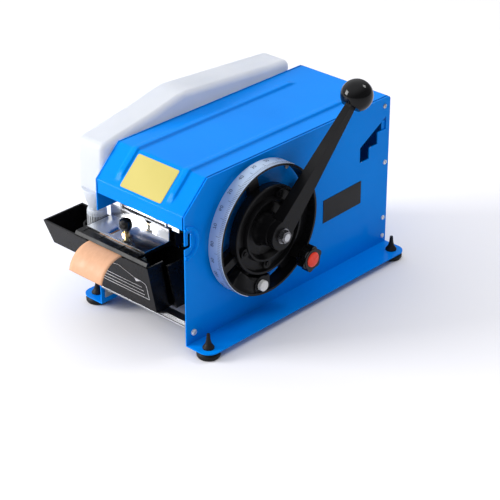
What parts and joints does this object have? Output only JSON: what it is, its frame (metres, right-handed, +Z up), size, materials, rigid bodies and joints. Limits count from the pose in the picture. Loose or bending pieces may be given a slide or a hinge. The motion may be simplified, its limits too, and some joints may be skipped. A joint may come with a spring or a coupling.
{
  "type": "gummed tape dispenser",
  "caption": "Lever-operated gummed tape dispenser: folded steel housing, dial wheel with ball lever, feed rollers, shear cutter, water tank with brushes and a side bottle",
  "frame": {"origin": "bottom centre of the whole object's box at rest, on the counter", "axes": "+X to the lever side, +Y to the rear, away from the tape's exit, +Z up"},
  "size_m": [0.3564, 0.5306, 0.3596],
  "materials": {
    "blue_paint": "smooth gloss blue powder coat",
    "zinc_steel": "bright zinc-plated steel",
    "blade_steel": "ground hardened steel",
    "stainless": "polished stainless steel",
    "bar_aluminium": "extruded aluminium",
    "brass_bush": "turned brass",
    "foot_rubber": "moulded black rubber",
    "cast_black": "satin black painted casting",
    "black_steel": "satin black painted steel",
    "tank_black": "moulded glossy black plastic",
    "grip_black": "polished black phenolic",
    "cap_red": "moulded red plastic",
    "button_white": "moulded white plastic",
    "dial_black": "moulded matt black plastic",
    "scale_silver": "satin printed aluminium strip",
    "label_black": "plain black foil",
    "kraft_paper": "brown gummed kraft paper",
    "core_board": "grey-brown wound board",
    "bristle_fibre": "pale fibre on a moulded back",
    "milky_plastic": "milky translucent polyethylene",
    "cap_plastic": "ribbed pale plastic",
    "roller_rubber": "grooved black rubber",
    "roller_grey": "turned dark grey plastic",
    "guide_black": "moulded black plastic"
  },
  "bodies": {
    "housing": {"right_side_panel": "blue_paint", "left_side_panel": "blue_paint", "rear_panel": "blue_paint", "front_bar": "bar_aluminium", "mechanism_plate": "black_steel", "tie_rods": "zinc_steel", "rubber_feet": "foot_rubber", "panel_screws": "zinc_steel", "front_bolts": "zinc_steel", "nameplate": "label_black", "shaft_bushes": "brass_bush", "roller_bushes": "brass_bush", "tape_guide": "zinc_steel", "deflector_rod": "zinc_steel", "blade_bed": "black_steel", "fixed_blade": "blade_steel", "guide_rods": "blade_steel", "cutter_bridge": "black_steel", "rocker_pin": "zinc_steel", "cradle_rods": "zinc_steel", "roll_guide_left": "guide_black", "bottle_shelf": "blue_paint", "hinge_pins": "zinc_steel", "threaded_tape": "kraft_paper", "blade_springs": "blade_steel"},
    "drive": {"main_shaft": "zinc_steel", "dial_wheel": "dial_black", "scale_band": "scale_silver", "lever_hub": "cast_black", "lever_arm": "cast_black", "ball_knob": "grip_black", "hub_nut": "zinc_steel", "hub_screws": "black_steel", "drive_gear": "zinc_steel", "cut_cam": "zinc_steel"},
    "length_stop": {"stop_carriage": "black_steel"},
    "stop_screw": {"stop_knob": "grip_black", "stop_cap": "cap_red"},
    "button": {"white_button": "button_white"},
    "feed": {"feed_shaft": "zinc_steel", "feed_roller": "roller_rubber", "feed_pinion": "brass_bush"},
    "presser": {"pressure_roller": "zinc_steel"},
    "blade": {"moving_blade": "blade_steel"},
    "rocker": {"cut_rocker": "zinc_steel"},
    "roll": {"tape_roll": "kraft_paper", "roll_core": "core_board"},
    "cradle_front": {"front_cradle_roller": "roller_grey"},
    "cradle_rear": {"rear_cradle_roller": "roller_grey"},
    "side_guide": {"roll_guide_right": "guide_black"},
    "guide_screw": {"guide_thumbscrew": "zinc_steel"},
    "cover": {"top_cover": "blue_paint"},
    "tank": {"water_tank": "tank_black", "tape_frame": "tank_black", "wet_brushes": "bristle_fibre", "dispensed_tape": "kraft_paper"},
    "plate": {"pressure_plate": "stainless", "plate_knob": "grip_black"},
    "bottle": {"water_bottle": "milky_plastic", "bottle_cap": "cap_plastic"}
  },
  "joints": [
    {"name": "lever_pull", "type": "hinge", "parent": "housing", "child": "drive", "pos_m": [0.11575, -0.04671, 0.162], "axis": [1, 0, 0], "range_deg": [0, 130]},
    {"name": "length_stop_slide", "type": "hinge", "parent": "drive", "child": "length_stop", "pos_m": [0.11575, -0.04671, 0.162], "axis": [1, 0, 0], "range_deg": [-15, 45]},
    {"name": "stop_knob_turn", "type": "hinge", "parent": "length_stop", "child": "stop_screw", "pos_m": [0.14025, 0.02523, 0.09253], "axis": [1, 0, 0], "range_deg": [0, 270]},
    {"name": "button_press", "type": "slide", "parent": "drive", "child": "button", "axis": [-1, 0, 0], "range_m": [0, 0.004], "stiffness_N_per_m": 300, "springref_m": -0.002},
    {"name": "feed_turn", "type": "hinge", "parent": "housing", "child": "feed", "pos_m": [0.00575, -0.12463, 0.1586], "axis": [1, 0, 0], "range_deg": [-547, 0]},
    {"name": "presser_turn", "type": "hinge", "parent": "housing", "child": "presser", "pos_m": [0.00575, -0.12463, 0.1316], "axis": [1, 0, 0], "range_deg": [0, 875]},
    {"name": "blade_stroke", "type": "slide", "parent": "housing", "child": "blade", "axis": [0, 0, -1], "range_m": [0, 0.0075], "stiffness_N_per_m": 800, "springref_m": -0.004, "deforming": ["blade_springs"]},
    {"name": "rocker_turn", "type": "hinge", "parent": "housing", "child": "rocker", "pos_m": [0.03675, -0.0937, 0.202], "axis": [1, 0, 0], "range_deg": [0, 8.3]},
    {"name": "roll_turn", "type": "hinge", "parent": "housing", "child": "roll", "pos_m": [-0.03925, 0.1413, 0.138], "axis": [1, 0, 0], "range_deg": [0, 125]},
    {"name": "front_cradle_turn", "type": "hinge", "parent": "housing", "child": "cradle_front", "pos_m": [-0.03925, 0.0963, 0.07271], "axis": [1, 0, 0], "range_deg": [-965, 0]},
    {"name": "rear_cradle_turn", "type": "hinge", "parent": "housing", "child": "cradle_rear", "pos_m": [-0.03925, 0.18629, 0.07271], "axis": [1, 0, 0], "range_deg": [-965, 0]},
    {"name": "side_guide_slide", "type": "slide", "parent": "housing", "child": "side_guide", "axis": [1, 0, 0], "range_m": [0, 0.045]},
    {"name": "guide_screw_turn", "type": "hinge", "parent": "side_guide", "child": "guide_screw", "pos_m": [0.00225, 0.0963, 0.0627], "axis": [0, 0, 1], "range_deg": [0, 90]},
    {"name": "cover_lift", "type": "hinge", "parent": "housing", "child": "cover", "pos_m": [0.00575, 0.25129, 0.258], "axis": [-1, 0, 0], "range_deg": [0, 85]},
    {"name": "tank_pull", "type": "slide", "parent": "housing", "child": "tank", "axis": [0, -1, 0], "range_m": [0, 0.07]},
    {"name": "plate_lift", "type": "slide", "parent": "tank", "child": "plate", "axis": [0, 0, 1], "range_m": [0, 0.008]},
    {"name": "bottle_lift", "type": "slide", "parent": "tank", "child": "bottle", "axis": [0, 0, 1], "range_m": [0, 0.06]}
  ],
  "couplings": [
    {"joint": "feed_turn", "follows": "lever_pull", "ratio": -4.2},
    {"joint": "presser_turn", "follows": "lever_pull", "ratio": 6.72},
    {"joint": "roll_turn", "follows": "lever_pull", "ratio": 0.95319},
    {"joint": "front_cradle_turn", "follows": "lever_pull", "ratio": -7.4137},
    {"joint": "rear_cradle_turn", "follows": "lever_pull", "ratio": -7.4137},
    {"joint": "rocker_turn", "follows": "blade_stroke", "rad_per_m": 18.657}
  ]
}
